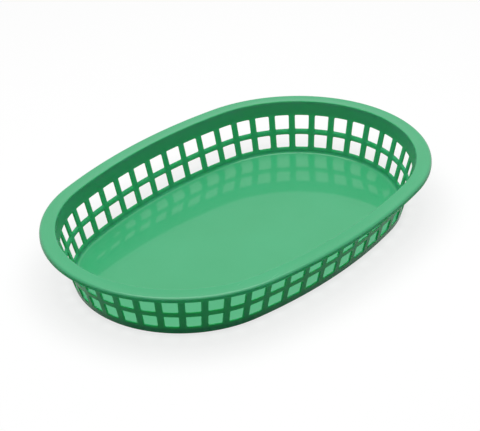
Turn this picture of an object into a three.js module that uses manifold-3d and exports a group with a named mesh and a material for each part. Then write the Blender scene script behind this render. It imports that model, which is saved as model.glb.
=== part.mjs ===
// Oval serving basket, moulded in green plastic: a flat floor, a wall that leans outwards with two
// rows of square windows, and a broad rim. Millimetres, +Z up, the long way along X, and the origin
// on the table under the middle of the basket.
//
// The moulding is divided at its natural lines into the members that it is made up of: the floor
// panel, the base ring that the floor lies in, the uprights between the windows, the mid rail that
// crosses them, the plain upper band and the rim flange.

import * as THREE from 'three';
import { mergeVertices } from 'three/addons/utils/BufferGeometryUtils.js';
import Module from 'manifold-3d';

// Plan of the rim's outer edge
const LENGTH = 267;
const WIDTH = 180;
const SIDE_BULGE = 5; // how far each long side bows out past the end radius

// Heights of the wall's members, one above the other from the table up
const BASE_RING_HEIGHT = 5.6;
const LOWER_WINDOW_HEIGHT = 8.6;
const MID_RAIL_HEIGHT = 3.3;
const UPPER_WINDOW_HEIGHT = 9;
const BAND_HEIGHT = 7;

// Wall and uprights
const WALL_THICKNESS = 1.4; // measured level, square to the outline
const WALL_LEAN = 15.2; // degrees from upright
const UPRIGHT_COUNT = 48;
const UPRIGHT_WIDTH = 4.1;

// Floor, and the foot under its edge that the basket stands on
const FLOOR_THICKNESS = 1;
const FOOT_HEIGHT = 0.4;
const FOOT_REACH = 3; // how far the foot runs in under the floor
const FOOT_EDGE_RADIUS = 2;

// Rim
const RIM_THICKNESS = 1.5;
const RIM_OVERHANG = 8.6; // from the top of the wall's outer face to the rim's outer edge
const RIM_DROP = 0.3; // fall of the flange towards its outer edge
const RIM_INNER_RADIUS = 0.75;

// Space left between members that touch
const JOINT_GAP = 0.3;

// How finely the curves are divided
const STATIONS_PER_UPRIGHT = 2;
const ROUND_STEPS = 3;

// Finish
const GREEN = 0x3aaa6f;
const ROUGHNESS = 0.3;
const METALNESS = 0;

// Levels that follow from the heights
const railBottom = BASE_RING_HEIGHT + LOWER_WINDOW_HEIGHT;
const railTop = railBottom + MID_RAIL_HEIGHT;
const bandBottom = railTop + UPPER_WINDOW_HEIGHT;
const bandTop = bandBottom + BAND_HEIGHT;
const rimBottom = bandTop + JOINT_GAP;
const rimTop = rimBottom + RIM_THICKNESS;
const floorBottom = FOOT_HEIGHT + JOINT_GAP;

// The outline is an oval of four arcs: one round each end, and one flat arc along each side
const halfLength = LENGTH / 2;
const halfWidth = WIDTH / 2;
const endRadius = halfWidth - SIDE_BULGE;
const endCentre = halfLength - endRadius;
const sideRadius = (endCentre ** 2 + halfWidth ** 2 - endRadius ** 2) / (2 * SIDE_BULGE);
const sideCentre = sideRadius - halfWidth;
const meetingAngle = Math.atan2(sideCentre, endCentre);
const endArc = endRadius * meetingAngle;
const quarterLength = endArc + sideRadius * (Math.PI / 2 - meetingAngle);

const wasm = await Module();
wasm.setup();

// Point on the rim's outer edge at a share of the way round it, anticlockwise from +X,
// with the outward direction there
function rimStation(share) {
  const quarters = share * 4;
  const quadrant = Math.floor(quarters);
  const isMirrored = quadrant % 2 === 1;
  const along = (isMirrored ? quadrant + 1 - quarters : quarters - quadrant) * quarterLength;
  const isOnEnd = along < endArc;
  const turn = isOnEnd ? along / endRadius : meetingAngle + (along - endArc) / sideRadius;
  const radius = isOnEnd ? endRadius : sideRadius;
  const x = (isOnEnd ? endCentre : 0) + radius * Math.cos(turn);
  const y = (isOnEnd ? 0 : -sideCentre) + radius * Math.sin(turn);
  const signX = quadrant === 1 || quadrant === 2 ? -1 : 1;
  const signY = quadrant >= 2 ? -1 : 1;
  const outward = new THREE.Vector2(signX * Math.cos(turn), signY * Math.sin(turn));
  return { point: new THREE.Vector2(signX * x, signY * y), outward };
}

// Evenly spaced stations round the rim, with one on each end of both axes
function rimStations(count) {
  return Array.from({ length: count }, (_, i) => rimStation(i / count));
}

const stations = rimStations(UPRIGHT_COUNT * STATIONS_PER_UPRIGHT);
const uprightStations = rimStations(UPRIGHT_COUNT);

// Level distances of the wall's two faces in from the rim's outer edge, at a height
const slope = Math.tan(THREE.MathUtils.degToRad(WALL_LEAN));
const outerFace = (z) => RIM_OVERHANG + (bandTop - z) * slope;
const innerFace = (z) => outerFace(z) + WALL_THICKNESS;

// The uprights and the mid rail are halved where they cross: the rail keeps the outer layer of the
// wall there, and the upright keeps the inner one
const layer = (WALL_THICKNESS - JOINT_GAP) / 2;
const railLayer = (z) => outerFace(z) + layer;
const uprightLayer = (z) => innerFace(z) - layer;

// Section points are (distance in from the rim's outer edge, height)
const at = (inset, z) => new THREE.Vector2(inset, z);

// Quarter round from one angle to another about a centre, in the plane of a section
function roundCorner(centre, radius, fromDegrees, toDegrees) {
  const points = [];
  for (let i = 0; i <= ROUND_STEPS; i++) {
    const angle = THREE.MathUtils.degToRad(THREE.MathUtils.lerp(fromDegrees, toDegrees, i / ROUND_STEPS));
    points.push(at(centre.x + radius * Math.cos(angle), centre.y + radius * Math.sin(angle)));
  }
  return points;
}

// Closed ring with the given section, carried square to the outline all the way round.
// The section runs along its bottom inwards, then up, then back outwards along its top.
function sweptRing(section) {
  const positions = [];
  const triangles = [];
  const sides = section.length;
  stations.forEach(({ point, outward }, i) => {
    const next = (i + 1) % stations.length;
    section.forEach(({ x: inset, y: z }, j) => {
      positions.push(point.x - inset * outward.x, point.y - inset * outward.y, z);
      const beside = (j + 1) % sides;
      const corners = [i * sides + j, i * sides + beside, next * sides + beside, next * sides + j];
      triangles.push(corners[0], corners[1], corners[3], corners[1], corners[2], corners[3]);
    });
  });
  const geometry = new THREE.BufferGeometry();
  geometry.setAttribute('position', new THREE.Float32BufferAttribute(positions, 3));
  geometry.setIndex(triangles);
  return geometry;
}

// Block with the given section of the wall, standing at a station: X is outward from the rim's
// outer edge, Y runs along the wall and Z is up
function wallBlock(section, width) {
  const shape = new THREE.Shape(section.map(({ x: inset, y: z }) => at(-inset, z)));
  const geometry = new THREE.ExtrudeGeometry(shape, { depth: width, bevelEnabled: false });
  geometry.translate(0, 0, -width / 2);
  geometry.rotateX(Math.PI / 2);
  return geometry;
}

// Turns and moves an object made at a station to its place
function placeAt(object, { point, outward }) {
  object.position.set(point.x, point.y, 0);
  object.rotation.z = outward.angle();
  return object;
}

function toSolid(geometry) {
  const bare = geometry.clone();
  bare.deleteAttribute('normal');
  bare.deleteAttribute('uv');
  const merged = mergeVertices(bare);
  const vertProperties = new Float32Array(merged.attributes.position.array);
  const triVerts = new Uint32Array(merged.index.array);
  return new wasm.Manifold(new wasm.Mesh({ numProp: 3, vertProperties, triVerts }));
}

function toGeometry(solid) {
  const { vertProperties, triVerts } = solid.getMesh();
  const geometry = new THREE.BufferGeometry();
  geometry.setAttribute('position', new THREE.Float32BufferAttribute(vertProperties, 3));
  geometry.setIndex(Array.from(triVerts));
  return geometry;
}

const basket = new THREE.Group();

function addMember(name, geometry) {
  geometry.computeVertexNormals();
  const finish = new THREE.MeshStandardMaterial({ color: GREEN, roughness: ROUGHNESS, metalness: METALNESS });
  const mesh = new THREE.Mesh(geometry, finish);
  mesh.name = name;
  basket.add(mesh);
  return mesh;
}

// Floor panel: a plain oval plate that lies on the foot, inside the base ring
const floorEdge = innerFace(FOOT_HEIGHT) + JOINT_GAP;
function floorPanel() {
  const outline = stations.map(({ point, outward }) => point.clone().addScaledVector(outward, -floorEdge));
  const options = { depth: FLOOR_THICKNESS, bevelEnabled: false };
  return new THREE.ExtrudeGeometry(new THREE.Shape(outline), options).translate(0, 0, floorBottom);
}

// Base ring: the rail under the lower windows, with a rounded outer edge and the flat foot
function baseRing() {
  const radius = Math.min(FOOT_EDGE_RADIUS, BASE_RING_HEIGHT - FOOT_HEIGHT);
  const roundCentre = at(outerFace(radius) + radius, radius);
  const footEnd = floorEdge + FOOT_REACH;
  return sweptRing([
    ...roundCorner(roundCentre, radius, 180, 270),
    at(footEnd, 0),
    at(footEnd, FOOT_HEIGHT),
    at(innerFace(FOOT_HEIGHT), FOOT_HEIGHT),
    at(innerFace(BASE_RING_HEIGHT), BASE_RING_HEIGHT),
    at(outerFace(BASE_RING_HEIGHT), BASE_RING_HEIGHT),
  ]);
}

// Upright: a bar of the wall between the base ring and the upper band, halved for the mid rail
function upright() {
  const bottom = BASE_RING_HEIGHT + JOINT_GAP;
  const top = bandBottom - JOINT_GAP;
  const notchBottom = railBottom - JOINT_GAP;
  const notchTop = railTop + JOINT_GAP;
  const section = [
    at(innerFace(bottom), bottom),
    at(outerFace(bottom), bottom),
    at(outerFace(notchBottom), notchBottom),
    at(uprightLayer(notchBottom), notchBottom),
    at(uprightLayer(notchTop), notchTop),
    at(outerFace(notchTop), notchTop),
    at(outerFace(top), top),
    at(innerFace(top), top),
  ];
  return wallBlock(section, UPRIGHT_WIDTH);
}

// Mid rail: a ring between the two rows of windows, halved for each upright
function midRail() {
  const ring = sweptRing([
    at(outerFace(railBottom), railBottom),
    at(innerFace(railBottom), railBottom),
    at(innerFace(railTop), railTop),
    at(outerFace(railTop), railTop),
  ]);
  const below = railBottom - JOINT_GAP;
  const above = railTop + JOINT_GAP;
  const section = [
    at(railLayer(below), below),
    at(innerFace(below) + JOINT_GAP, below),
    at(innerFace(above) + JOINT_GAP, above),
    at(railLayer(above), above),
  ];
  const notch = new THREE.Mesh(wallBlock(section, UPRIGHT_WIDTH + 2 * JOINT_GAP));
  let rail = toSolid(ring);
  uprightStations.forEach((station) => {
    placeAt(notch, station).updateMatrix();
    rail = rail.subtract(toSolid(notch.geometry.clone().applyMatrix4(notch.matrix)));
  });
  return toGeometry(rail);
}

// Upper band: the plain strip of wall between the upper windows and the rim
function upperBand() {
  return sweptRing([
    at(outerFace(bandBottom), bandBottom),
    at(innerFace(bandBottom), bandBottom),
    at(innerFace(bandTop), bandTop),
    at(outerFace(bandTop), bandTop),
  ]);
}

// Rim flange: lies on the band, falls a little outwards, and ends in a half-round edge
function rimFlange() {
  const edgeRadius = RIM_THICKNESS / 2;
  const edgeCentre = at(edgeRadius, rimBottom - RIM_DROP + edgeRadius);
  const radius = Math.min(RIM_INNER_RADIUS, RIM_THICKNESS / 2);
  const crestCentre = at(innerFace(rimTop) - radius, rimTop - radius);
  return sweptRing([
    at(outerFace(bandTop), rimBottom),
    at(innerFace(bandTop), rimBottom),
    ...roundCorner(crestCentre, radius, 0, 90),
    ...roundCorner(edgeCentre, edgeRadius, 90, 180),
    ...roundCorner(edgeCentre, edgeRadius, 180, 270).slice(1),
  ]);
}

addMember('floor_panel', floorPanel());
addMember('base_ring', baseRing());
addMember('mid_rail', midRail());
addMember('upper_band', upperBand());
addMember('rim_flange', rimFlange());
uprightStations.forEach((station, i) => {
  const name = `upright_${String(i + 1).padStart(2, '0')}`;
  placeAt(addMember(name, upright()), station);
});

export default basket;
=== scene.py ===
# %% [markdown]
# A green plastic serving basket.
# The real basket is one injection moulding: a flat oval floor, a wall of windows that leans
# outwards, and a broad rim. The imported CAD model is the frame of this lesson. It gives the size and
# the place of every member, and we model three smoother pieces over it: the lattice wall, the rim,
# and the floor with its foot.

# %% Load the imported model
from math import atan2, cos, floor, pi, radians, sin, tan

import bmesh
import bpy
from mathutils import Matrix, Vector


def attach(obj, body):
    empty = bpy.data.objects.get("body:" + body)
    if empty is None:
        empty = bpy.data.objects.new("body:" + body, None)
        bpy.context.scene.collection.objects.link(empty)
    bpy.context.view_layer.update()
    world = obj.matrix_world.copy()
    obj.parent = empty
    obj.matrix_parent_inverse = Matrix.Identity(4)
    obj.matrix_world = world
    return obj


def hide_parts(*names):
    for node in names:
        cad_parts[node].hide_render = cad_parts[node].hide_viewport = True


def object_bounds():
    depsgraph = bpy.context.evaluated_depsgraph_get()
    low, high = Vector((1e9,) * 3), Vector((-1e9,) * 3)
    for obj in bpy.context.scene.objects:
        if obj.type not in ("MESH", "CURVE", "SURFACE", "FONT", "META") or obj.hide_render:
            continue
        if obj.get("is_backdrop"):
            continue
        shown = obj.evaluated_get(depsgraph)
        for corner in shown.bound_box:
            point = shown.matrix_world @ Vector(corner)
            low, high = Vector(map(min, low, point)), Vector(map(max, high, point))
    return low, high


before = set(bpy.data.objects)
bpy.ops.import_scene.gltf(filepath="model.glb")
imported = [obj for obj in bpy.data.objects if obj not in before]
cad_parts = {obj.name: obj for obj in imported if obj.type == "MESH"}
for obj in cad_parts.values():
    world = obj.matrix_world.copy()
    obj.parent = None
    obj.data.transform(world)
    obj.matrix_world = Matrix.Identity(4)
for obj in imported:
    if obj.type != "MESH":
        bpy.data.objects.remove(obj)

cad_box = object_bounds()
print(len(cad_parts), "CAD nodes, from", [round(v, 4) for v in cad_box[0]], "to",
      [round(v, 4) for v in cad_box[1]])

# %% [markdown]
# The oval.
# Seen from above, the rim is an oval of four arcs: one round each end and a flat one along each
# side. Every ring of the basket follows this oval at its own distance in from the rim's edge. So we
# describe the oval once, as a point and an outward direction at a share of the way round, and later
# lay the whole wall along it. The sizes are read from the CAD box, not typed again.

# %% Describe the rim's outline
MM = 0.001
SIDE_BULGE = 5 * MM

half_length = cad_box[1][0]
half_width = cad_box[1][1]
end_radius = half_width - SIDE_BULGE
end_centre = half_length - end_radius
side_radius = (end_centre ** 2 + half_width ** 2 - end_radius ** 2) / (2 * SIDE_BULGE)
side_centre = side_radius - half_width
meeting_angle = atan2(side_centre, end_centre)
end_arc = end_radius * meeting_angle
quarter_length = end_arc + side_radius * (pi / 2 - meeting_angle)


def rim_station(share):
    """Point, outward direction and radius of the rim's edge at a share of the way round from +X."""
    quarters = (share % 1) * 4
    quadrant = floor(quarters)
    mirrored = quadrant % 2 == 1
    along = (quadrant + 1 - quarters if mirrored else quarters - quadrant) * quarter_length
    on_end = along < end_arc
    turn = along / end_radius if on_end else meeting_angle + (along - end_arc) / side_radius
    radius = end_radius if on_end else side_radius
    x = (end_centre if on_end else 0) + radius * cos(turn)
    y = (0 if on_end else -side_centre) + radius * sin(turn)
    sign_x = -1 if quadrant in (1, 2) else 1
    sign_y = -1 if quadrant >= 2 else 1
    return Vector((sign_x * x, sign_y * y)), Vector((sign_x * cos(turn), sign_y * sin(turn))), radius


print("rim's edge is", round(4 * quarter_length / MM, 1), "mm round")

# %% [markdown]
# The wall's section.
# The wall leans outwards, so its two faces are described by how far in they are from the rim's edge
# at each height. A small helper for each face keeps every later piece on the same two surfaces.

# %% Describe the wall's two faces
WALL_LEAN = radians(15.2)
WALL_THICKNESS = 1.4 * MM
BAND_TOP = 33.5 * MM
RIM_OVERHANG = 8.6 * MM


def outer_face(z):
    return RIM_OVERHANG + (BAND_TOP - z) * tan(WALL_LEAN)


def inner_face(z):
    return outer_face(z) + WALL_THICKNESS


print("wall's outer face is", round(outer_face(0) / MM, 2), "mm in at the table")

# %% [markdown]
# Modelling by hand, in code.
# Blender's mesh operators act on whatever is selected, and loading the frame leaves the CAD nodes
# selected. These helpers start each piece from an empty selection, pick vertices by their place,
# and close a piece at the end with its seams merged and its faces pointing outwards.

# %% Helpers for edit mode
MERGE = 0.002 * MM


def start_fresh():
    """Leaves edit mode and deselects everything, so that the next operator acts on its own piece."""
    if bpy.context.object and bpy.context.object.mode != "OBJECT":
        bpy.ops.object.mode_set(mode="OBJECT")
    bpy.ops.object.select_all(action="DESELECT")


def name_new_piece(name):
    piece = bpy.context.object
    piece.name = name
    piece.data.name = name
    return piece


def pick_vertices(piece, rule):
    """Selects, in edit mode, the vertices whose place keeps to the rule, and the edges between them."""
    bpy.ops.mesh.select_mode(type="VERT")
    bpy.ops.mesh.select_all(action="DESELECT")
    shape = bmesh.from_edit_mesh(piece.data)
    for vertex in shape.verts:
        vertex.select = rule(vertex.co)
    shape.select_flush_mode()
    bmesh.update_edit_mesh(piece.data)


def apply_modifiers(piece):
    for modifier in list(piece.modifiers):
        bpy.ops.object.modifier_apply(modifier=modifier.name)


def close_piece(piece, smooth_angle):
    """Merges doubles, turns the faces outwards and smooths all but the sharper edges."""
    bpy.ops.object.mode_set(mode="EDIT")
    bpy.ops.mesh.select_all(action="SELECT")
    bpy.ops.mesh.remove_doubles(threshold=MERGE)
    bpy.ops.mesh.normals_make_consistent(inside=False)
    bpy.ops.object.mode_set(mode="OBJECT")
    bpy.ops.object.shade_smooth_by_angle(angle=smooth_angle)
    shape = bmesh.new()
    shape.from_mesh(piece.data)
    open_edges = sum(1 for edge in shape.edges if not edge.is_manifold)
    volume = shape.calc_volume(signed=True)
    shape.free()
    print(piece.name, len(piece.data.polygons), "faces,", open_edges, "open edges,",
          round(volume / MM ** 3), "mm3")


# %% [markdown]
# The outline of a window.
# Each window is a rounded square hole in a thin leaning wall. We could cut the holes with a boolean,
# but then their edges would be hard to round evenly. Instead every window gets its own cell of the
# wall, with as many points on the cell's border as on the hole's outline, so that neat four-sided
# faces run from one to the other. Both are described for one quarter, from the middle of the side
# to the middle of the top, and a helper carries them to the other three.

# %% Describe a window and its cell
COLUMNS = 48
UPRIGHT_HALF_WIDTH = 2.05 * MM
CORNER_RADIUS = 0.8 * MM
STEPS_ON_SIDE = 3
STEPS_ON_CORNER = 4
STEPS_ON_TOP = 3
STEPS_PER_QUARTER = STEPS_ON_SIDE + STEPS_ON_CORNER + STEPS_ON_TOP
POINTS_ROUND = 4 * STEPS_PER_QUARTER

pitch = 4 * quarter_length / COLUMNS
opening_half = pitch / 2 - UPRIGHT_HALF_WIDTH


def quarter_outline(step, half_wide, half_high):
    """Point on a quarter of the opening's outline, from the middle of its side to that of its top."""
    corner_start = STEPS_ON_SIDE
    corner_end = STEPS_ON_SIDE + STEPS_ON_CORNER
    straight_side = half_high - CORNER_RADIUS
    straight_top = half_wide - CORNER_RADIUS
    if step <= corner_start:
        return half_wide, straight_side * step / STEPS_ON_SIDE
    if step >= corner_end:
        return straight_top * (STEPS_PER_QUARTER - step) / STEPS_ON_TOP, half_high
    angle = (step - corner_start) / STEPS_ON_CORNER * pi / 2
    return straight_top + CORNER_RADIUS * cos(angle), straight_side + CORNER_RADIUS * sin(angle)


def quarter_border(step, half_wide, half_high):
    """Point on a quarter of the cell's border that faces that point of the outline."""
    across, up = quarter_outline(step, opening_half, half_high)
    corner_middle = STEPS_ON_SIDE + STEPS_ON_CORNER / 2
    if step < corner_middle:
        beyond = max(step - STEPS_ON_SIDE, 0) / (corner_middle - STEPS_ON_SIDE)
        straight = min(up, half_high - CORNER_RADIUS)
        return half_wide, straight + (half_high - straight) * beyond
    if step > corner_middle:
        beyond = max(STEPS_ON_SIDE + STEPS_ON_CORNER - step, 0) / (STEPS_ON_CORNER / 2)
        straight = min(across, opening_half - CORNER_RADIUS)
        return straight + (half_wide - straight) * beyond, half_high
    return half_wide, half_high


def ring_point(step, quarter_point, half_wide, half_high):
    """Carries a quarter's point to the quarter that the step lies in."""
    quarter, within = divmod(step, STEPS_PER_QUARTER)
    if quarter % 2:
        within = STEPS_PER_QUARTER - within
    across, up = quarter_point(within, half_wide, half_high)
    return (-across if quarter in (1, 2) else across), (-up if quarter in (2, 3) else up)


print(COLUMNS, "columns,", round(pitch / MM, 2), "mm apart along the rim's edge")

# %% [markdown]
# One window of the lattice.
# The window starts as a short tube with forty points round it. Its first and last rings are laid on
# the border of the window's cell, one on each face of the wall, and the rings between them run
# through the hole as a half-round lip. The reach of the lip is its own for each edge: the lower edge
# is the arched top of a rail, and the other edges are only lightly rounded. The base rail's crest
# lies in the middle of the wall, and the mid rail's lies nearer the outside. The head of a window is
# lower on the outside than on the inside, and so is every line where two cells meet.

# %% Lay a tube of rings as one window
LIP_STEPS = 10
FACE_RINGS = 2
CREST_REACH_OUTSIDE = 1.4 * MM
CREST_REACH_INSIDE = 1.7 * MM
SIDE_REACH = 0.35 * MM
TOP_REACH = 0.3 * MM
FLAT_MARGIN = 0.12 * MM
HEAD_SLANT = 1.1 * MM


def slanted(level, depth):
    """Height of a line of the wall that keeps its level inside and drops towards the outside."""
    return level - HEAD_SLANT * (1 - depth / WALL_THICKNESS)


def crest_drop(angle, crest_angle):
    """Fall of a rail's arched crest from its top, which lies at the lip's crest angle."""
    inside = angle > crest_angle
    reach = CREST_REACH_INSIDE if inside else CREST_REACH_OUTSIDE
    span = pi / 2 - crest_angle if inside else pi / 2 + crest_angle
    return reach * (1 - cos((angle - crest_angle) / span * pi / 2))


def add_window(name, sill, crest_angle, head, cell_bottom, cell_top):
    """One cell of the lattice, flat: X along the wall, Y through it from the outside, Z up."""
    start_fresh()
    bpy.ops.mesh.primitive_circle_add(vertices=POINTS_ROUND, radius=1, rotation=(pi / 2, 0, 0))
    window = name_new_piece(name)
    bpy.ops.object.transform_apply(location=False, rotation=True, scale=False)
    bpy.ops.object.mode_set(mode="EDIT")
    bpy.ops.mesh.select_all(action="SELECT")
    last_ring = LIP_STEPS + 2 * FACE_RINGS
    for _ in range(last_ring):
        bpy.ops.mesh.extrude_region_move(TRANSFORM_OT_translate={"value": (0, 1, 0)})
    bpy.ops.object.mode_set(mode="OBJECT")
    for vertex in window.data.vertices:
        ring = round(vertex.co.y)
        step = round(atan2(vertex.co.z, vertex.co.x) / (2 * pi) * POINTS_ROUND) % POINTS_ROUND
        on_border = ring in (0, last_ring)
        angle = (min(max(ring - FACE_RINGS, 0), LIP_STEPS) / LIP_STEPS - 0.5) * pi
        spread = 1 - cos(angle)
        depth = WALL_THICKNESS * (1 + sin(angle)) / 2
        margin = FLAT_MARGIN if ring in (1, last_ring - 1) else 0
        low = sill - crest_drop(angle, crest_angle) - margin
        high = slanted(head + TOP_REACH * spread + margin, depth)
        wide = opening_half + SIDE_REACH * spread + margin
        outline = quarter_outline
        if on_border:
            low = slanted(cell_bottom, depth)
            high = slanted(cell_top, depth)
            wide = pitch / 2
            outline = quarter_border
        across, up = ring_point(step, outline, wide, (high - low) / 2)
        vertex.co = (across, depth, (high + low) / 2 + up)
    return window


# %% [markdown]
# One column of the wall.
# A column is a low window, a high window and the plain band above them. The two cells share the
# line along the middle of the mid rail, so their border points meet there and merge. The band grows
# from the upper cell's top border with one extrusion.

# %% Join two windows and a band into a column
WALL_FOOT = 3.8 * MM
LOWER_SILL = 5.75 * MM
LOWER_HEAD = 14.4 * MM
RAIL_LINE = 15.2 * MM
UPPER_SILL = 17.2 * MM
UPPER_HEAD = 26.7 * MM
BAND_LINE = 27.5 * MM
WALL_HEAD = 34 * MM
LOWER_CREST = 0
UPPER_CREST = radians(-36)

lower_window = add_window("lower_window", LOWER_SILL, LOWER_CREST, LOWER_HEAD, WALL_FOOT, RAIL_LINE)
lattice = add_window("lattice_wall", UPPER_SILL, UPPER_CREST, UPPER_HEAD, RAIL_LINE, BAND_LINE)
lower_window.select_set(True)
bpy.ops.object.join()
bpy.ops.object.mode_set(mode="EDIT")
pick_vertices(lattice, lambda place: abs(place.z - slanted(BAND_LINE, place.y)) < MERGE)
bpy.ops.mesh.extrude_region_move(TRANSFORM_OT_translate={"value": (0, 0, WALL_HEAD - BAND_LINE)})
bpy.ops.mesh.select_all(action="SELECT")
bpy.ops.mesh.remove_doubles(threshold=MERGE)
bpy.ops.object.mode_set(mode="OBJECT")
print("one column has", len(lattice.data.polygons), "faces")

# %% [markdown]
# The whole wall.
# An Array modifier sets the columns side by side as one long flat strip, which we then lay round
# the oval. A Curve modifier could do that too, but it would make the uprights thinner at the foot,
# where the wall is shorter. On the real basket they keep their width and the windows narrow, so each
# point is laid by a formula that narrows only the windows. Bridging the strip's inner and outer
# edges, above and below, closes the wall.

# %% Lay the columns round the oval
columns_side_by_side = lattice.modifiers.new("columns", "ARRAY")
columns_side_by_side.count = COLUMNS
columns_side_by_side.use_relative_offset = False
columns_side_by_side.use_constant_offset = True
columns_side_by_side.constant_offset_displace = (pitch, 0, 0)
columns_side_by_side.use_merge_vertices = True
columns_side_by_side.merge_threshold = MERGE
apply_modifiers(lattice)

for vertex in lattice.data.vertices:
    along = vertex.co.x / pitch + 0.5
    column = min(max(floor(along), 0), COLUMNS - 1)
    nearest_upright = column if along - column < 0.5 else column + 1
    from_upright = (along - nearest_upright) * pitch
    distance = abs(from_upright)
    z = vertex.co.z
    inset = outer_face(z) + vertex.co.y
    radius_here = rim_station(nearest_upright / COLUMNS)[2]
    stretch = 1 / (1 - inset / radius_here)
    if distance > UPRIGHT_HALF_WIDTH:
        edge = UPRIGHT_HALF_WIDTH * stretch
        distance = edge + (distance - UPRIGHT_HALF_WIDTH) * (pitch / 2 - edge) / opening_half
    else:
        distance *= stretch
    offset = distance if from_upright > 0 else -distance
    point, outward, _ = rim_station((nearest_upright + offset / pitch) / COLUMNS)
    place = point - outward * inset
    vertex.co = (place.x, place.y, z)

bpy.ops.object.mode_set(mode="EDIT")
bpy.ops.mesh.select_all(action="SELECT")
bpy.ops.mesh.remove_doubles(threshold=MERGE)
for level in (WALL_FOOT, WALL_HEAD):
    ends = (slanted(level, 0), slanted(level, WALL_THICKNESS))
    pick_vertices(lattice, lambda place: min(abs(place.z - end) for end in ends) < MERGE)
    bpy.ops.mesh.bridge_edge_loops()
bpy.ops.object.mode_set(mode="OBJECT")
SMOOTH_ANGLE = radians(40)
close_piece(lattice, SMOOTH_ANGLE)

# %% [markdown]
# Sweeping a section round the oval.
# The rim and the base are mouldings with one section all the way round. By hand we would draw the
# section by extruding a vertex from point to point, spin it about the centre of the end arc, spin
# its last copy on about the centre of the side arc, and mirror that quarter twice. Spinning keeps
# every ring an exact arc, which a subdivided curve would only come near.

# %% Helpers for a swept section
END_STEPS = 72
SIDE_STEPS = 24
ROUND_STEPS = 8


def section_arc(centre, radius, from_degrees, to_degrees):
    """Points of a section's round corner: distance in from the rim's edge, and height."""
    points = []
    for i in range(ROUND_STEPS + 1):
        angle = radians(from_degrees + (to_degrees - from_degrees) * i / ROUND_STEPS)
        points.append((centre[0] + radius * cos(angle), centre[1] + radius * sin(angle)))
    return points


def sweep_section(name, section, closed):
    """Draws the section at the +X end, spins it round a quarter of the oval and mirrors it twice."""
    start_fresh()
    places = [Vector((half_length - inset, 0, z)) for inset, z in section]
    bpy.ops.mesh.primitive_plane_add(size=MM, location=places[0])
    piece = name_new_piece(name)
    bpy.ops.object.transform_apply(location=True, rotation=False, scale=False)
    bpy.ops.object.mode_set(mode="EDIT")
    bpy.ops.mesh.select_all(action="SELECT")
    bpy.ops.mesh.merge(type="CENTER")
    for here, there in zip(places, places[1:]):
        bpy.ops.mesh.extrude_region_move(TRANSFORM_OT_translate={"value": there - here})
    bpy.ops.mesh.select_all(action="SELECT")
    if closed:
        pick_vertices(piece, lambda place: min((place - places[0]).length,
                                               (place - places[-1]).length) < MERGE)
        bpy.ops.mesh.edge_face_add()
        bpy.ops.mesh.select_all(action="SELECT")
    bpy.ops.mesh.spin(steps=END_STEPS, angle=meeting_angle, center=(end_centre, 0, 0),
                      axis=(0, 0, -1))
    bpy.ops.mesh.spin(steps=SIDE_STEPS, angle=pi / 2 - meeting_angle, center=(0, -side_centre, 0),
                      axis=(0, 0, -1))
    bpy.ops.object.mode_set(mode="OBJECT")
    reach_x = max(vertex.co.x for vertex in piece.data.vertices)
    reach_y = max(vertex.co.y for vertex in piece.data.vertices)
    print("a quarter of", name, "reaches", round(reach_x / MM, 2), "by", round(reach_y / MM, 2), "mm")
    mirror = piece.modifiers.new("other_quarters", "MIRROR")
    mirror.use_axis = (True, True, False)
    mirror.use_clip = True
    mirror.merge_threshold = MERGE
    apply_modifiers(piece)
    return piece


# %% [markdown]
# The rim.
# The rim is a thin flange with a shallow dip along its top. Its outer edge has a round shoulder and
# turns down, which shows as a dark green line under the rim. Inside, a rounded crest turns down into
# the basket and ends in a short steep lip. The section's hidden part runs inside the head of the
# wall, a hair away from its faces, so that no two faces lie in one plane.

# %% Sweep the rim
HAIR = 0.02 * MM
LIP_BOTTOM = 33.5 * MM
LIP_TOP = 34.4 * MM
LIP_LEAN = 0.45 * MM
CREST_ROUND = 0.8 * MM
SHOULDER_RADIUS = 1.7 * MM
SHOULDER_HEIGHT = 35.0 * MM
EDGE_BOTTOM = 31.9 * MM
EDGE_THICKNESS = 1.4 * MM
EDGE_ROUND = 0.4 * MM
RIM_UNDERSIDE = 33.55 * MM
UNDER_FILLET = 0.7 * MM
RIM_DIP = 0.12 * MM
DIP_STEPS = 10

lip_in = inner_face(LIP_BOTTOM) + HAIR
crest_in = lip_in - LIP_LEAN - CREST_ROUND
crest_height = LIP_TOP + CREST_ROUND
shoulder_centre = (SHOULDER_RADIUS, SHOULDER_HEIGHT - SHOULDER_RADIUS)
fillet_bottom = RIM_UNDERSIDE - UNDER_FILLET
edge_round_height = EDGE_BOTTOM + EDGE_ROUND
fillet_in = outer_face(fillet_bottom) - HAIR


def rim_top():
    """Points along the rim's upper face, from the crest out to the shoulder of its edge."""
    points = []
    for i in range(1, DIP_STEPS):
        share = i / DIP_STEPS
        inset = crest_in + (SHOULDER_RADIUS - crest_in) * share
        level = crest_height + (SHOULDER_HEIGHT - crest_height) * sin(share * pi / 2)
        points.append((inset, level - RIM_DIP * sin(share * pi)))
    return points


rim_section = [(lip_in, LIP_BOTTOM)]
rim_section += section_arc((crest_in, LIP_TOP), CREST_ROUND, 0, 90)
rim_section += rim_top()
rim_section += section_arc(shoulder_centre, SHOULDER_RADIUS, 90, 180)
rim_section += section_arc((EDGE_ROUND, edge_round_height), EDGE_ROUND, 180, 270)
rim_section += section_arc((EDGE_THICKNESS - EDGE_ROUND, edge_round_height), EDGE_ROUND, 270, 360)
rim_section += section_arc((EDGE_THICKNESS + UNDER_FILLET, fillet_bottom), UNDER_FILLET, 180, 90)
rim_section += section_arc((fillet_in - UNDER_FILLET, fillet_bottom), UNDER_FILLET, 90, 0)
rim_section.append((fillet_in + WALL_THICKNESS / 2, fillet_bottom))
rim = sweep_section("rim_moulding", rim_section, closed=True)
close_piece(rim, SMOOTH_ANGLE)

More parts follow.
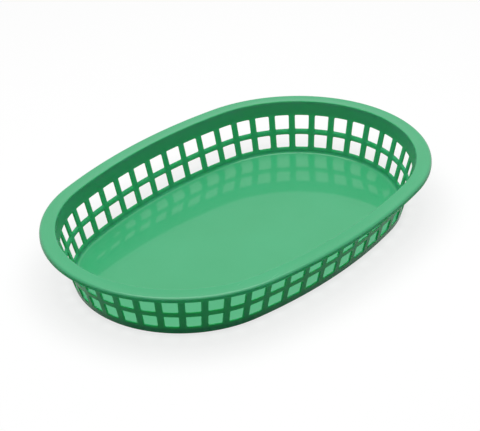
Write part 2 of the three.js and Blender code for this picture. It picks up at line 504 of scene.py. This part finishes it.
# %% [markdown]
# The floor and its foot.
# The floor is a flat plate that rises a little towards its edge, runs up into the wall with a
# fillet inside and a rounded edge outside, and stands on a low flat foot just under that edge. Its
# section is open: the sweep stops well inside the basket and one face above and one below fill the
# middle. The stub at its top goes up inside the wall, again a hair inside its faces.

# %% Sweep the base and fill the floor
FLOOR_TOP = 1.3 * MM
FLOOR_EDGE_RISE = 0.7 * MM
FLOOR_EDGE_REACH = 9 * MM
FLOOR_EDGE_POWER = 3
FLOOR_EDGE_STEPS = 10
FLOOR_UNDERSIDE = 0.2 * MM
FLOOR_FILLET = 2.6 * MM
FOOT_ROUND = 1.3 * MM
FOOT_INNER_EDGE = 22.3 * MM
FOOT_SLOPE = 0.5 * MM
STUB_TOP = 4.2 * MM
FILLED_FROM = 60 * MM

lean_degrees = WALL_LEAN * 180 / pi
foot_tangent = FOOT_ROUND * (1 - sin(WALL_LEAN))
foot_centre = (outer_face(foot_tangent) + HAIR + FOOT_ROUND * cos(WALL_LEAN), FOOT_ROUND)
edge_slope = atan2(FLOOR_EDGE_POWER * FLOOR_EDGE_RISE, FLOOR_EDGE_REACH)
slope_degrees = edge_slope * 180 / pi
fillet_height = FLOOR_TOP + FLOOR_EDGE_RISE + FLOOR_FILLET * cos(edge_slope)
fillet_tangent = fillet_height - FLOOR_FILLET * sin(WALL_LEAN)
fillet_centre = (inner_face(fillet_tangent) - HAIR + FLOOR_FILLET * cos(WALL_LEAN), fillet_height)
edge_from = fillet_centre[0] - FLOOR_FILLET * sin(edge_slope)


def floor_edge():
    """Points of the floor's upper face from its fillet in to where it lies flat."""
    points = []
    for i in range(1, FLOOR_EDGE_STEPS + 1):
        share = i / FLOOR_EDGE_STEPS
        level = FLOOR_TOP + FLOOR_EDGE_RISE * (1 - share) ** FLOOR_EDGE_POWER
        points.append((edge_from + FLOOR_EDGE_REACH * share, level))
    return points


base_section = [(FILLED_FROM, FLOOR_UNDERSIDE), (FOOT_INNER_EDGE + FOOT_SLOPE, FLOOR_UNDERSIDE),
                (FOOT_INNER_EDGE, 0)]
base_section += section_arc(foot_centre, FOOT_ROUND, 270, 180 + lean_degrees)
stub_outside = slanted(STUB_TOP, 0)
base_section.append((outer_face(stub_outside) + HAIR, stub_outside))
base_section.append((inner_face(STUB_TOP) - HAIR, STUB_TOP))
base_section += section_arc(fillet_centre, FLOOR_FILLET, 180 + lean_degrees, 270 - slope_degrees)
base_section += floor_edge()
base_section.append((FILLED_FROM, FLOOR_TOP))
base = sweep_section("floor_and_foot", base_section, closed=False)

bpy.ops.object.mode_set(mode="EDIT")
filled_x = half_length - FILLED_FROM
filled_y = half_width - FILLED_FROM
for level in (FLOOR_UNDERSIDE, FLOOR_TOP):
    pick_vertices(base, lambda place: abs(place.z - level) < MERGE
                  and abs(place.x) < filled_x + MM and abs(place.y) < filled_y + MM)
    bpy.ops.mesh.edge_face_add()
bpy.ops.object.mode_set(mode="OBJECT")
close_piece(base, SMOOTH_ANGLE)

# %% [markdown]
# What the pieces stand for.
# Each piece rides on the one body and hides the CAD nodes that it stands for.

# %% Attach the pieces
uprights = [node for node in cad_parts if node.startswith("upright_")]
for piece, nodes in ((lattice, uprights + ["mid_rail", "upper_band"]), (rim, ["rim_flange"]),
                     (base, ["floor_panel", "base_ring"])):
    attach(piece, "root")
    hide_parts(*nodes)
    print(piece.name, "stands for", len(nodes), "nodes")

# %% [markdown]
# Effects of moulded plastic.
# Three node groups hold what every green surface shares: a very slight drift of colour through the
# moulding with a painted shade on the band above the windows, fine handling marks that take the edge
# off the gloss, and the faint ripple that the mould's polish leaves. They are groups so that the wall,
# the rim and the floor can each use them with their own strength. All of them read Object coordinates,
# so nothing slides when the view changes. These helpers make an empty group, a node, a node's values
# and a noise.

# %% Helpers for node groups
def new_group(name, inputs, outputs):
    """An empty shader node group with its sockets, and its two end nodes."""
    group = bpy.data.node_groups.new(name, "ShaderNodeTree")
    for label, kind, value in inputs:
        socket = group.interface.new_socket(label, in_out="INPUT", socket_type=kind)
        socket.default_value = value
    for label, kind in outputs:
        group.interface.new_socket(label, in_out="OUTPUT", socket_type=kind)
    return group, group.nodes.new("NodeGroupInput"), group.nodes.new("NodeGroupOutput")


def add_node(tree, kind, **settings):
    node = tree.nodes.new(kind)
    for key, value in settings.items():
        setattr(node, key, value)
    return node


def set_values(node, values):
    for label, value in values.items():
        node.inputs[label].default_value = value


def add_noise(tree, scale, detail, roughness):
    """Noise on Object coordinates: scale is in waves per metre."""
    place = add_node(tree, "ShaderNodeTexCoord")
    noise = add_node(tree, "ShaderNodeTexNoise")
    set_values(noise, {"Scale": scale, "Detail": detail, "Roughness": roughness})
    tree.links.new(place.outputs["Object"], noise.inputs["Vector"])
    return noise


# %% [markdown]
# The resin's green, and painted shade on the band. Coloured resin never mixes quite evenly, so the
# green drifts softly between two shades that are close together. The plain band above the windows gets
# less light than the bars between the windows, which take light at their sides, so the group fades to a
# darker third green just above the window heads: this is painted shade, not a deeper resin. It could be
# painted as a picture, but a noise and a height need no picture and fit any piece.

# %% Build the resin's green and the band's painted shade
DRIFT_WAVES = 22
DRIFT_FROM = 0.3
DRIFT_TO = 0.7
BAND_FADE_BELOW = 0.4 * MM
BAND_FADE_ABOVE = 1.2 * MM


def build_resin_tone():
    """Puts out the resin's green, drifting between two shades of it, with painted shade on the band."""
    group, given, result = new_group("resin_tone_and_band_shade", [
        ("Deep green", "NodeSocketColor", (0.037, 0.39, 0.161, 1)),
        ("Pale green", "NodeSocketColor", (0.042, 0.41, 0.176, 1)),
        # Painted shade: a darker green for the light that the band lacks under the rim.
        ("Band painted shade", "NodeSocketColor", (0.043, 0.333, 0.147, 1)),
        ("Band shade share", "NodeSocketFloat", 0.0),
    ], [("Green", "NodeSocketColor")])
    drift = add_noise(group, scale=DRIFT_WAVES, detail=2, roughness=0.5)
    spread = add_node(group, "ShaderNodeMapRange")
    set_values(spread, {"From Min": DRIFT_FROM, "From Max": DRIFT_TO})
    mix = add_node(group, "ShaderNodeMix", data_type="RGBA")
    place = add_node(group, "ShaderNodeTexCoord")
    height = add_node(group, "ShaderNodeSeparateXYZ")
    above = add_node(group, "ShaderNodeMapRange")
    # Height ramp that fades the painted shade in just above the window heads.
    set_values(above, {"From Min": UPPER_HEAD - BAND_FADE_BELOW,
                       "From Max": UPPER_HEAD + BAND_FADE_ABOVE})
    band_shade_mask = add_node(group, "ShaderNodeMath", operation="MULTIPLY")
    paint_band_shade = add_node(group, "ShaderNodeMix", data_type="RGBA")
    group.links.new(drift.outputs["Fac"], spread.inputs["Value"])
    group.links.new(spread.outputs["Result"], mix.inputs["Factor"])
    group.links.new(given.outputs["Deep green"], mix.inputs["A"])
    group.links.new(given.outputs["Pale green"], mix.inputs["B"])
    group.links.new(place.outputs["Object"], height.inputs["Vector"])
    group.links.new(height.outputs["Z"], above.inputs["Value"])
    group.links.new(above.outputs["Result"], band_shade_mask.inputs[0])
    group.links.new(given.outputs["Band shade share"], band_shade_mask.inputs[1])
    group.links.new(band_shade_mask.outputs["Value"], paint_band_shade.inputs["Factor"])
    group.links.new(mix.outputs["Result"], paint_band_shade.inputs["A"])
    group.links.new(given.outputs["Band painted shade"], paint_band_shade.inputs["B"])
    group.links.new(paint_band_shade.outputs["Result"], result.inputs["Green"])
    return group


resin_tone_and_band_shade = build_resin_tone()
print("group", resin_tone_and_band_shade.name, "has", len(resin_tone_and_band_shade.nodes), "nodes")

# %% [markdown]
# Handling marks.
# A basket in use is wiped and stacked, which leaves soft dull patches and fine marks in one
# direction. They only change the roughness. A noise stretched along one direction gives marks that
# are long and thin, and a narrow range of it keeps them few.

# %% Build the handling marks
PATCH_WAVES = 60
MARK_TURN = radians(35)
MARK_WAVES = (40, 900, 300)
MARK_FROM = 0.64
MARK_TO = 0.74


def build_handling_marks():
    """Puts out a roughness: the moulded gloss, dulled in soft patches and along fine marks."""
    group, given, result = new_group("handling_marks", [
        ("Gloss roughness", "NodeSocketFloat", 0.16),
        ("Dulled by", "NodeSocketFloat", 0.08),
        ("Marked by", "NodeSocketFloat", 0.1),
    ], [("Roughness", "NodeSocketFloat")])
    patches = add_noise(group, scale=PATCH_WAVES, detail=4, roughness=0.6)
    place = add_node(group, "ShaderNodeTexCoord")
    stretch = add_node(group, "ShaderNodeMapping")
    set_values(stretch, {"Rotation": (0, 0, MARK_TURN), "Scale": MARK_WAVES})
    marks = add_node(group, "ShaderNodeTexNoise")
    set_values(marks, {"Scale": 1, "Detail": 3})
    thin = add_node(group, "ShaderNodeMapRange")
    set_values(thin, {"From Min": MARK_FROM, "From Max": MARK_TO})
    dull = add_node(group, "ShaderNodeMath", operation="MULTIPLY_ADD")
    marked = add_node(group, "ShaderNodeMath", operation="MULTIPLY_ADD")
    group.links.new(patches.outputs["Fac"], dull.inputs[0])
    group.links.new(given.outputs["Dulled by"], dull.inputs[1])
    group.links.new(given.outputs["Gloss roughness"], dull.inputs[2])
    group.links.new(place.outputs["Object"], stretch.inputs["Vector"])
    group.links.new(stretch.outputs["Vector"], marks.inputs["Vector"])
    group.links.new(marks.outputs["Fac"], thin.inputs["Value"])
    group.links.new(thin.outputs["Result"], marked.inputs[0])
    group.links.new(given.outputs["Marked by"], marked.inputs[1])
    group.links.new(dull.outputs["Value"], marked.inputs[2])
    group.links.new(marked.outputs["Value"], result.inputs["Roughness"])
    return group


handling_marks = build_handling_marks()
print("group", handling_marks.name, "has", len(handling_marks.nodes), "nodes")

# %% [markdown]
# The mould's ripple.
# Plastic shrinks as it cools, so even a polished face is not quite flat. The waves are far too low
# to model. A height for a Bump node bends the mirrored light instead: long waves, with a much finer
# skin over them.

# %% Build the mould's ripple
RIPPLE_WAVES = 45
SKIN_WAVES = 900


def build_mould_ripple():
    """Puts out a height: long soft waves of the cooled plastic under a finer skin."""
    group, given, result = new_group("mould_ripple", [
        ("Wave height", "NodeSocketFloat", 1.0),
        ("Skin height", "NodeSocketFloat", 0.1),
    ], [("Height", "NodeSocketFloat")])
    waves = add_noise(group, scale=RIPPLE_WAVES, detail=1, roughness=0.4)
    skin = add_noise(group, scale=SKIN_WAVES, detail=2, roughness=0.5)
    wave_part = add_node(group, "ShaderNodeMath", operation="MULTIPLY")
    both = add_node(group, "ShaderNodeMath", operation="MULTIPLY_ADD")
    group.links.new(waves.outputs["Fac"], wave_part.inputs[0])
    group.links.new(given.outputs["Wave height"], wave_part.inputs[1])
    group.links.new(skin.outputs["Fac"], both.inputs[0])
    group.links.new(given.outputs["Skin height"], both.inputs[1])
    group.links.new(wave_part.outputs["Value"], both.inputs[2])
    group.links.new(both.outputs["Value"], result.inputs["Height"])
    return group


mould_ripple = build_mould_ripple()
print("group", mould_ripple.name, "has", len(mould_ripple.nodes), "nodes")

# %% [markdown]
# The green plastic.
# The plastic is glossy polypropylene, and a thin wall of it lets some light through. One function
# builds its material from the three groups, and values that are the same all over the surface are set
# on the shader itself. The wall is duller than the rest, glows a little with the light that soaks
# through it, and carries the band's painted shade; the edges are the same plastic without that painted
# shade. The rim has a plain gloss. The floor has a thin sharp polish over a softer gloss, so that it
# mirrors the windows clearly but faintly. One roughness alone would make the mirrored windows either
# too strong or too blurred.

# %% Make the materials
BUMP_DISTANCE = 0.05 * MM
PLASTIC_IOR = 1.49
POLISH_ROUGHNESS = 0.06
SCATTER_REACH = (0.3, 1.4, 0.5)
SCATTER_SCALE = 2.5 * MM


def green_plastic(name, shine, depth, gloss, dulled, marked, wave, skin, band=0, polish=0):
    material = bpy.data.materials.new(name)
    material.use_nodes = True
    tree = material.node_tree
    shader = tree.nodes["Principled BSDF"]
    set_values(shader, {"IOR": PLASTIC_IOR, "Specular IOR Level": shine})
    set_values(shader, {"Coat Weight": polish, "Coat Roughness": POLISH_ROUGHNESS})
    set_values(shader, {"Subsurface Weight": depth, "Subsurface Radius": SCATTER_REACH,
                        "Subsurface Scale": SCATTER_SCALE})
    tone = add_node(tree, "ShaderNodeGroup", node_tree=resin_tone_and_band_shade)
    marks = add_node(tree, "ShaderNodeGroup", node_tree=handling_marks)
    ripple = add_node(tree, "ShaderNodeGroup", node_tree=mould_ripple)
    bump = add_node(tree, "ShaderNodeBump")
    set_values(bump, {"Distance": BUMP_DISTANCE})
    set_values(tone, {"Band shade share": band})
    set_values(marks, {"Gloss roughness": gloss, "Dulled by": dulled, "Marked by": marked})
    set_values(ripple, {"Wave height": wave, "Skin height": skin})
    tree.links.new(tone.outputs["Green"], shader.inputs["Base Color"])
    tree.links.new(marks.outputs["Roughness"], shader.inputs["Roughness"])
    tree.links.new(ripple.outputs["Height"], bump.inputs["Height"])
    tree.links.new(bump.outputs["Normal"], shader.inputs["Normal"])
    return material


soft_look = {"shine": 0.05, "depth": 1.0, "gloss": 0.2, "dulled": 0.1,
             "marked": 0.06, "wave": 0.5, "skin": 0.06}
# band=1.0 paints shade on the wall above the window heads; the edges' finish has no painted shade.
wall_plastic = green_plastic("wall_plastic", band=1.0, **soft_look)
edge_plastic = green_plastic("edge_plastic", **soft_look)
rim_plastic = green_plastic("rim_plastic", shine=0.5, depth=0, gloss=0.2, dulled=0.08,
                            marked=0.03, wave=0.8, skin=0.06)
floor_plastic = green_plastic("floor_plastic", shine=0.24, depth=0, gloss=0.34, dulled=0.08,
                              marked=0.06, wave=1.0, skin=0.04, polish=0.5)
for finish in (wall_plastic, edge_plastic, rim_plastic, floor_plastic):
    print("finish", finish.name, "has", len(finish.node_tree.nodes), "nodes")

# %% [markdown]
# Which face wears which finish.
# The wall is all one finish. The rim and the floor's piece wear their own gloss on top only: their
# steep inner faces run on from the wall and take its finish, so the rim's inner lip also gets the
# band's painted shade, and their outer sides and undersides take the edges', which have no painted
# shade. By hand we would select faces and assign a material. Here the upward part of each face's normal
# decides, which is 1 for a level face and 0 for an upright one. The limit for inner faces is each
# piece's own, so that the finish changes high on the rim's rounded crest and low in the floor's fillet.

# %% Give each face its finish
OUTER_SIDES_BELOW = 0.3
RIM_CREST_BELOW = 0.9
FLOOR_FILLET_BELOW = 0.8
UPPER, INNER, OUTER = range(3)


def finish_of(face, inner_limit):
    """Tells an upper face from a steep one that looks inwards and one that looks outwards or down."""
    inward = face.normal.x * face.center.x + face.normal.y * face.center.y < 0
    if face.normal.z > (inner_limit if inward else OUTER_SIDES_BELOW):
        return UPPER
    return INNER if inward else OUTER


upper_finishes = ((rim, rim_plastic, RIM_CREST_BELOW), (base, floor_plastic, FLOOR_FILLET_BELOW))
for piece, upper_finish, inner_limit in upper_finishes:
    piece.data.materials.clear()
    counts = [0, 0, 0]
    for finish in (upper_finish, wall_plastic, edge_plastic):
        piece.data.materials.append(finish)
    for face in piece.data.polygons:
        face.material_index = finish_of(face, inner_limit)
        counts[face.material_index] += 1
    print(piece.name, "has", counts, "upper, inner and outer faces")
lattice.data.materials.clear()
lattice.data.materials.append(wall_plastic)
print(lattice.name, "wears", wall_plastic.name)

# %% [markdown]
# The camera.
# The camera was found by fitting a pinhole view to the outline, the rim, the foot and the windows
# in the photograph. It stands a little over a metre away, between one end and one side of the basket
# and about thirty degrees up, and it is turned a little about its own axis.

# %% Place the camera
IMAGE_WIDTH = 480
SENSOR_WIDTH = 36
AZIMUTH = radians(-47.233)
ELEVATION = radians(30.214)
ROLL = radians(-2.227)
CAMERA_DISTANCE = 1127.043 * MM
FOCAL_PIXELS = 1853.943
AIM_RIGHT = -1.501 * MM
AIM_UP = 13.344 * MM

back = Vector((sin(AZIMUTH) * cos(ELEVATION), -cos(AZIMUTH) * cos(ELEVATION), sin(ELEVATION)))
level_right = Vector((cos(AZIMUTH), sin(AZIMUTH), 0))
level_up = back.cross(level_right)
right = cos(ROLL) * level_right + sin(ROLL) * level_up
up = cos(ROLL) * level_up - sin(ROLL) * level_right

camera_data = bpy.data.cameras.new("camera")
camera_data.sensor_width = SENSOR_WIDTH
camera_data.sensor_fit = "HORIZONTAL"
camera_data.lens = FOCAL_PIXELS * SENSOR_WIDTH / IMAGE_WIDTH
camera = bpy.data.objects.new("camera", camera_data)
bpy.context.collection.objects.link(camera)
camera_place = CAMERA_DISTANCE * back + AIM_RIGHT * right + AIM_UP * up
camera_turn = Matrix((right, up, back)).transposed().to_4x4()
camera.matrix_world = Matrix.Translation(camera_place) @ camera_turn
bpy.context.scene.camera = camera
print("camera at", [round(v, 3) for v in camera.location], "lens", round(camera_data.lens, 1))

# %% [markdown]
# White where it is seen.
# The basket stands on a plain white table in front of a white background. Both are white where the
# camera, a reflection or a clear surface sees them, and greyer as sources of light, so the basket's
# sides keep their shade. Light Path tells the two apart.

# %% Helpers for a white background
def seen_directly(tree):
    """1 for camera, glossy and transmission rays, which should see a white background."""
    path = add_node(tree, "ShaderNodeLightPath")
    glossy = add_node(tree, "ShaderNodeMath", operation="MAXIMUM")
    clear = add_node(tree, "ShaderNodeMath", operation="MAXIMUM")
    tree.links.new(path.outputs["Is Camera Ray"], glossy.inputs[0])
    tree.links.new(path.outputs["Is Glossy Ray"], glossy.inputs[1])
    tree.links.new(glossy.outputs["Value"], clear.inputs[0])
    tree.links.new(path.outputs["Is Transmission Ray"], clear.inputs[1])
    return clear.outputs["Value"]


def white_when_seen(tree, grey):
    """A colour that is white where it is seen and grey where it only lights other things."""
    mix = add_node(tree, "ShaderNodeMix", data_type="RGBA")
    mix.inputs["A"].default_value = (grey, grey, grey, 1)
    mix.inputs["B"].default_value = (1, 1, 1, 1)
    tree.links.new(seen_directly(tree), mix.inputs["Factor"])
    return mix.outputs["Result"]


# %% [markdown]
# The table.
# The table is one large plane. A white table under a soft lamp still comes out grey, so it also glows
# where it is seen. The glow is less than full, so the basket keeps its shadow on it.

# %% Lay the table
TABLE_SIZE = 12
TABLE_AS_LIGHT = 0.42
TABLE_GLOW = 0.75

start_fresh()
bpy.ops.mesh.primitive_plane_add(size=TABLE_SIZE, location=(0, 0, 0))
table = name_new_piece("table")
table_finish = bpy.data.materials.new("table_white")
table_finish.use_nodes = True
table_tree = table_finish.node_tree
table_tree.nodes.remove(table_tree.nodes["Principled BSDF"])
table_shader = add_node(table_tree, "ShaderNodeBsdfDiffuse")
table_tree.links.new(white_when_seen(table_tree, TABLE_AS_LIGHT), table_shader.inputs["Color"])
glow = add_node(table_tree, "ShaderNodeEmission")
glow_share = add_node(table_tree, "ShaderNodeMath", operation="MULTIPLY")
glow_share.inputs[1].default_value = TABLE_GLOW
lifted = add_node(table_tree, "ShaderNodeMixShader")
table_tree.links.new(seen_directly(table_tree), glow_share.inputs[0])
table_tree.links.new(glow_share.outputs["Value"], lifted.inputs["Fac"])
table_tree.links.new(table_shader.outputs["BSDF"], lifted.inputs[1])
table_tree.links.new(glow.outputs["Emission"], lifted.inputs[2])
table_surface = table_tree.nodes["Material Output"].inputs["Surface"]
table_tree.links.new(lifted.outputs["Shader"], table_surface)
table.data.materials.append(table_finish)
table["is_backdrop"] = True
print(table.name, "is", TABLE_SIZE, "m wide")

# %% [markdown]
# The light.
# One large round lamp hangs over the middle of the basket. It is wider than it is high up, so its
# shadows are soft and the rim and the floor are lit alike. The world adds a little grey light from
# all round.

# %% Light the basket
WORLD_AS_LIGHT = 0.2
LAMP_HEIGHT = 1.0
LAMP_SIZE = 1.25
LAMP_POWER = 11.5

world = bpy.data.worlds.new("studio")
bpy.context.scene.world = world
world.use_nodes = True
background = world.node_tree.nodes["Background"]
world_colour = white_when_seen(world.node_tree, WORLD_AS_LIGHT)
world.node_tree.links.new(world_colour, background.inputs["Color"])

lamp_data = bpy.data.lights.new("softbox", "AREA")
lamp_data.shape = "DISK"
lamp_data.size = LAMP_SIZE
lamp_data.energy = LAMP_POWER
lamp = bpy.data.objects.new("softbox", lamp_data)
lamp.location = (0, 0, LAMP_HEIGHT)
bpy.context.collection.objects.link(lamp)
bpy.context.scene.view_settings.view_transform = "Standard"
print("lamp of", LAMP_POWER, "W,", LAMP_SIZE, "m wide,", LAMP_HEIGHT, "m up")

# %% [markdown]
# The sizes. Both boxes, the CAD model's and the dressed basket's, are printed side by side.
# The dressed basket has to stay inside the CAD model's box.

# %% Print the sizes
visual_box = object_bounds()
for label, box in (("CAD", cad_box), ("visual", visual_box)):
    print(label, "box in mm", [[round(v / MM, 2) for v in corner] for corner in box])
